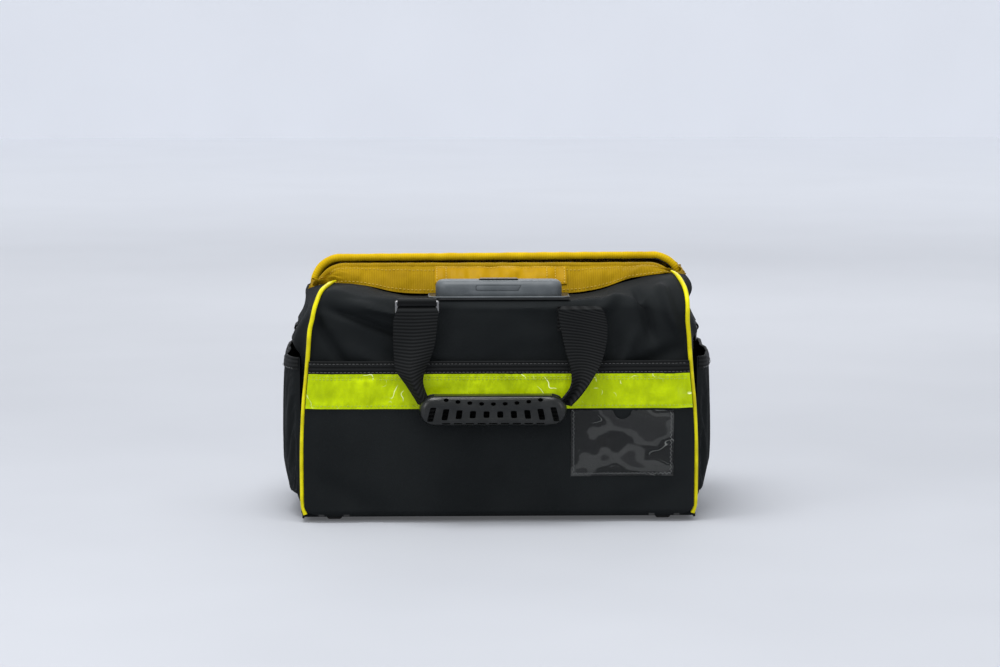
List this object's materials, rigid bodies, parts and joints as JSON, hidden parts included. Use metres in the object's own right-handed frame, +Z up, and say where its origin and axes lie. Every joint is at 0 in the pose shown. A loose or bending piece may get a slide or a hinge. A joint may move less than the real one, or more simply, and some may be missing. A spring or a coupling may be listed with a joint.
{
  "type": "first responder equipment bag",
  "caption": "Soft black wide-mouth equipment bag with a framed yellow collar, outside pockets, lime reflective tape, carry handles and a pull-out trolley grip.",
  "frame": {"origin": "On the floor, under the middle of the box around the whole bag at rest.", "axes": "+X runs along the length of the bag toward the end with the clear card pocket, -Y is the front with the trolley grip, +Z is up."},
  "size_m": [0.448, 0.292, 0.2689],
  "materials": {
    "black_fabric": "600-denier polyester, plain weave",
    "black_webbing": "ribbed nylon webbing",
    "yellow_fabric": "ribbed yellow polyester",
    "closure_patch": "smooth laminated yellow fabric",
    "reflective_tape": "fluorescent lime retroreflective tape",
    "clear_window": "clear flexible vinyl",
    "piping": "bright yellow piping",
    "gray_plastic": "moulded gray plastic",
    "black_plastic": "moulded black plastic",
    "rubber": "black rubber",
    "steel": "bright plated steel",
    "aluminium": "drawn aluminium tube"
  },
  "bodies": {
    "bag": {"front_panel": "black_fabric", "rear_panel": "black_fabric", "end_panel_left": "black_fabric", "end_panel_right": "black_fabric", "base_panel": "black_fabric", "base_tray": "black_plastic", "front_pocket": "black_fabric", "rear_pocket": "black_fabric", "front_pocket_hem": "black_webbing", "rear_pocket_hem": "black_webbing", "front_reflective_tape": "reflective_tape", "rear_reflective_tape": "reflective_tape", "id_window": "clear_window", "end_pocket_left": "black_fabric", "end_pocket_right": "black_fabric", "end_pocket_hem_left": "black_webbing", "end_pocket_hem_right": "black_webbing", "piping_front_left": "piping", "piping_front_right": "piping", "piping_rear_left": "piping", "piping_rear_right": "piping", "collar_gusset_left": "yellow_fabric", "collar_gusset_right": "yellow_fabric", "hinge_bracket_left": "steel", "hinge_bracket_right": "steel", "handle_ring_tabs": "black_webbing", "strap_roots": "black_webbing", "d_ring_tabs": "black_webbing", "trolley_bezel": "gray_plastic", "tube_sockets": "black_plastic", "outer_tubes": "aluminium", "wheel_housing_left": "black_plastic", "wheel_housing_right": "black_plastic", "wheel_axles": "steel", "housing_screws": "steel", "rubber_feet": "rubber"},
    "mouth_front": {"front_collar_frame": "steel", "front_collar": "yellow_fabric", "closure_strip": "closure_patch"},
    "mouth_rear": {"rear_collar_frame": "steel", "rear_collar": "yellow_fabric"},
    "handle_front": {"front_handle_ring": "steel", "front_handle_strap": "black_webbing", "front_handle_grip": "black_plastic"},
    "handle_rear": {"rear_handle_ring": "steel", "rear_handle_strap": "black_webbing", "rear_handle_grip": "black_plastic"},
    "ring_left": {"d_ring_left": "steel"},
    "ring_right": {"d_ring_right": "steel"},
    "trolley_lower": {"lower_tubes": "aluminium"},
    "trolley_middle": {"middle_tubes": "aluminium"},
    "trolley_upper": {"upper_tubes": "aluminium", "trolley_grip": "gray_plastic", "release_springs": "steel"},
    "trolley_button": {"release_button": "black_plastic", "release_bar": "steel"},
    "wheel_left": {"wheel_hub_left": "black_plastic", "tyre_left": "rubber"},
    "wheel_right": {"wheel_hub_right": "black_plastic", "tyre_right": "rubber"}
  },
  "joints": [
    {"name": "wheel_left_spin", "type": "hinge", "parent": "bag", "child": "wheel_left", "pos_m": [-0.172, -0.088, 0.022], "axis": [1, 0, 0], "continuous": true},
    {"name": "wheel_right_spin", "type": "hinge", "parent": "bag", "child": "wheel_right", "pos_m": [0.172, -0.088, 0.022], "axis": [1, 0, 0], "continuous": true},
    {"name": "trolley_lower_slide", "type": "slide", "parent": "bag", "child": "trolley_lower", "axis": [0, 0, 1], "range_m": [0, 0.16]},
    {"name": "trolley_middle_slide", "type": "slide", "parent": "trolley_lower", "child": "trolley_middle", "axis": [0, 0, 1], "range_m": [0, 0.16]},
    {"name": "trolley_upper_slide", "type": "slide", "parent": "trolley_middle", "child": "trolley_upper", "axis": [0, 0, 1], "range_m": [0, 0.16]},
    {"name": "release_press", "type": "slide", "parent": "trolley_upper", "child": "trolley_button", "axis": [0, 0, -1], "range_m": [0, 0.003], "stiffness_N_per_m": 300, "springref_m": -0.004, "deforming": ["release_springs"]},
    {"name": "mouth_front_swing", "type": "hinge", "parent": "bag", "child": "mouth_front", "pos_m": [0, 0, 0.185], "axis": [1, 0, 0], "range_deg": [-16, 26], "deforming": ["front_collar", "closure_strip"]},
    {"name": "mouth_rear_swing", "type": "hinge", "parent": "bag", "child": "mouth_rear", "pos_m": [0, 0, 0.185], "axis": [1, 0, 0], "range_deg": [-45, 0], "deforming": ["rear_collar"]},
    {"name": "handle_front_swing", "type": "hinge", "parent": "bag", "child": "handle_front", "pos_m": [0, -0.115, 0.231], "axis": [-1, 0, 0], "range_deg": [0, 172]},
    {"name": "handle_rear_swing", "type": "hinge", "parent": "bag", "child": "handle_rear", "pos_m": [0, 0.115, 0.231], "axis": [1, 0, 0], "range_deg": [0, 172]},
    {"name": "ring_left_swing", "type": "hinge", "parent": "bag", "child": "ring_left", "pos_m": [-0.2115, 0, 0.192], "axis": [0, 1, 0], "range_deg": [0, 150]},
    {"name": "ring_right_swing", "type": "hinge", "parent": "bag", "child": "ring_right", "pos_m": [0.2115, 0, 0.192], "axis": [0, -1, 0], "range_deg": [0, 150]}
  ]
}
